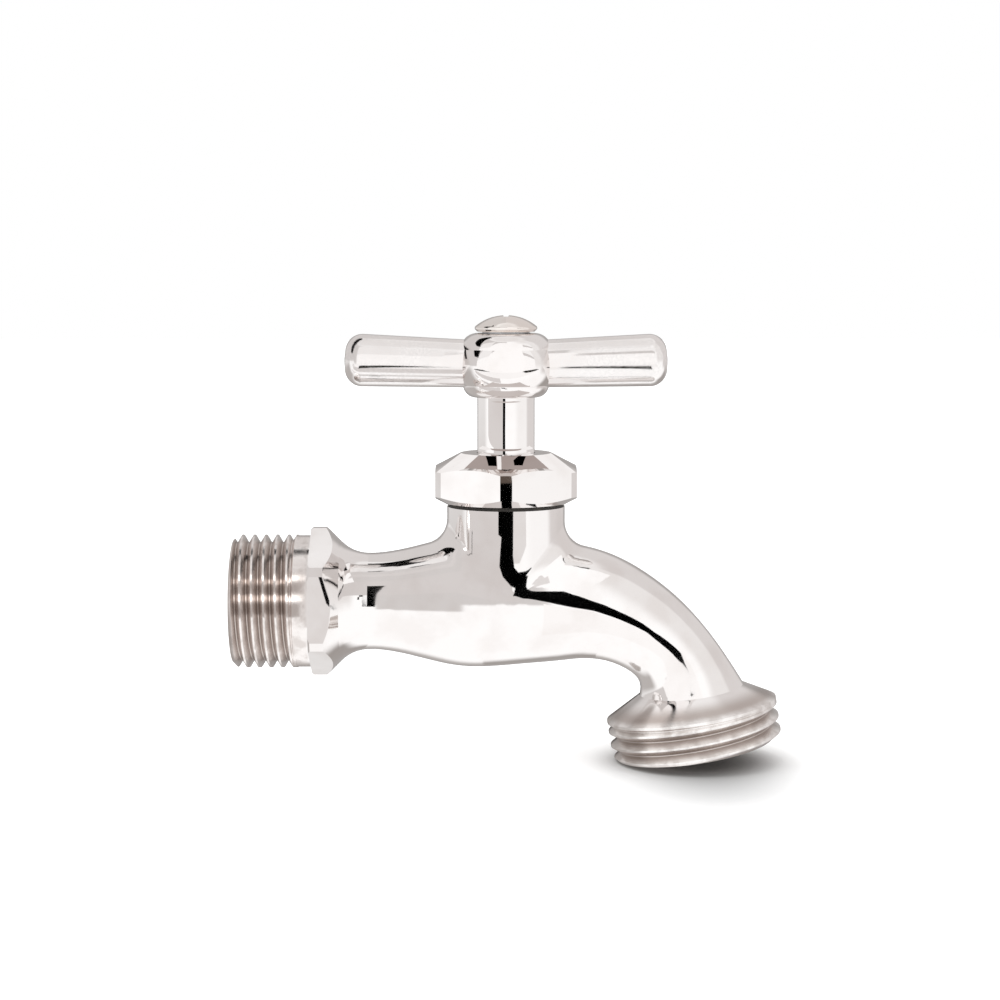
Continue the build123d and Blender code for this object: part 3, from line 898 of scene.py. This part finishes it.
@dataclass(frozen=True)
class Viewpoint:
    """The place in front of the tap, a little above it, from which the picture is taken."""

    aim: Point = (0.04196, 0.0, 0.0160)
    lift: float = radians(5.7)
    distance: float = 0.38
    lens: float = 87.0
    sensor: float = 36.0
    nearest: float = 0.01
    farthest: float = 20.0

    def build(self) -> None:
        """Set up the camera."""
        data = bpy.data.cameras.new("camera")
        camera = bpy.data.objects.new("camera", data)
        bpy.context.scene.collection.objects.link(camera)
        bpy.context.scene.camera = camera
        data.sensor_width = self.sensor
        data.lens = self.lens
        data.clip_start = self.nearest
        data.clip_end = self.farthest
        camera.location = Vector(self.aim) + Vector((0, -cos(self.lift), sin(self.lift))) * self.distance
        camera.rotation_euler = (pi / 2 - self.lift, 0, 0)


@dataclass(frozen=True)
class SubAssembly:
    """Pieces of the tap that belong together, each with its finish."""

    title: str

    def finishes(self) -> dict[str, Finish]:
        """Return the finish of each node by the node's name."""
        raise NotImplementedError

    def dress(self, nodes: dict[str, bpy.types.Object], made: dict[Finish, bpy.types.Material]) -> None:
        """Give each node its finish.

        Args:
            nodes: the frame's objects by name.
            made: the materials built so far, by finish.
        """
        for name, finish in self.finishes().items():
            if finish not in made:
                made[finish] = finish.build()
            nodes[name].data.materials.clear()
            nodes[name].data.materials.append(made[finish])
            log.info("%s: %s in %s", self.title, name, finish.name)


@dataclass(frozen=True)
class BodyAssembly(SubAssembly):
    """The plated casting with its two threads, and the seat ring screwed into it."""

    title: str = "body"
    inlet_centre: Point = (0.0, 0.0, 0.0)
    inlet_turned_length: float = 0.0118
    inlet_fade: float = 0.0006
    inlet_root_radius: float = 0.0093
    inlet_crest_radius: float = 0.0104775
    outlet_centre: Point = (0.0732672, 0.0, -0.0233605)
    outlet_tilt: float = radians(9.0)
    outlet_turned_length: float = 0.0073
    outlet_fade: float = 0.0016
    outlet_root_radius: float = 0.01215
    outlet_crest_radius: float = 0.013495

    def inlet_end(self) -> TurnedEnd:
        """Work out the turned metal of the inlet's thread.

        Returns:
            The end, with this sub-assembly's sizes and its own two colours.
        """
        return TurnedEnd(
            origin=self.inlet_centre,
            turn=(0.0, pi / 2, 0.0),
            length=self.inlet_turned_length,
            fade=self.inlet_fade,
            root_radius=self.inlet_root_radius,
            crest_radius=self.inlet_crest_radius,
            turned=(0.91, 0.87, 0.85),
            # The root colour is a painted shade in the thread roots.
            root=(0.55, 0.49, 0.46),
        )

    def outlet_end(self) -> TurnedEnd:
        """Work out the turned metal of the outlet's thread and flange.

        Returns:
            The end, with this sub-assembly's sizes and its own two colours.
        """
        return TurnedEnd(
            origin=self.outlet_centre,
            turn=(0.0, -self.outlet_tilt, 0.0),
            length=self.outlet_turned_length,
            fade=self.outlet_fade,
            root_radius=self.outlet_root_radius,
            crest_radius=self.outlet_crest_radius,
            turned=(0.95, 0.925, 0.91),
            # The root colour is a painted shade in the thread roots.
            root=(0.56, 0.505, 0.475),
        )

    def finishes(self) -> dict[str, Finish]:
        """Choose the finishes.

        Returns:
            The finish of each node by the node's name.
        """
        return {
            "body": BodyPlate(ends=(self.inlet_end(), self.outlet_end())),
            "seat_ring": TurnedMetal(),
        }


@dataclass(frozen=True)
class CapNutAssembly(SubAssembly):
    """The cap nut on its gasket, and the packing that it presses round the stem."""

    title: str = "cap nut"

    def finishes(self) -> dict[str, Finish]:
        """Choose the finishes.

        Returns:
            The finish of each node by the node's name.
        """
        gasket = DarkRubber(
            name="gasket_fibre", colour=(0.03, 0.027, 0.024), bloom=(0.07, 0.06, 0.05), smoothest=0.6
        )
        return {
            "cap_nut": PolishedPlate(),
            "nut_gasket": gasket,
            "packing_washer": TurnedMetal(),
            "stem_packing": DarkRubber(),
            "gland_ring": TurnedMetal(),
        }


@dataclass(frozen=True)
class SpindleAssembly(SubAssembly):
    """The spindle with the jumper and its rubber washer."""

    title: str = "spindle"

    def finishes(self) -> dict[str, Finish]:
        """Choose the finishes.

        Returns:
            The finish of each node by the node's name.
        """
        return {
            "spindle": PolishedPlate(),
            "jumper": TurnedMetal(),
            "seat_washer": DarkRubber(),
            "jumper_nut": TurnedMetal(),
        }


@dataclass(frozen=True)
class HandleAssembly(SubAssembly):
    """The T-handle with its screw and spring washer."""

    title: str = "handle"

    def finishes(self) -> dict[str, Finish]:
        """Choose the finishes.

        Returns:
            The finish of each node by the node's name.
        """
        screw = PolishedPlate(
            name="screw_plate", colour=(0.90, 0.86, 0.825), shade=(0.86, 0.80, 0.76), roughness=0.05
        )
        spring = TurnedMetal(
            name="spring_steel",
            colour=(0.50, 0.50, 0.51),
            tarnish=(0.34, 0.33, 0.33),
            clean_roughness=0.22,
        )
        return {"handle": HandlePlate(), "handle_screw": screw, "lock_washer": spring}


def main() -> None:
    """Load the frame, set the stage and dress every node."""
    logging.basicConfig(level=logging.INFO)
    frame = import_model()
    bpy.ops.object.select_all(action="DESELECT")
    Viewpoint().build()
    Tent().build()
    made: dict[Finish, bpy.types.Material] = {}
    for assembly in (BodyAssembly(), CapNutAssembly(), SpindleAssembly(), HandleAssembly()):
        assembly.dress(frame["nodes"], made)
    bpy.context.scene.view_settings.view_transform = "Standard"


if __name__ == "__main__":
    main()
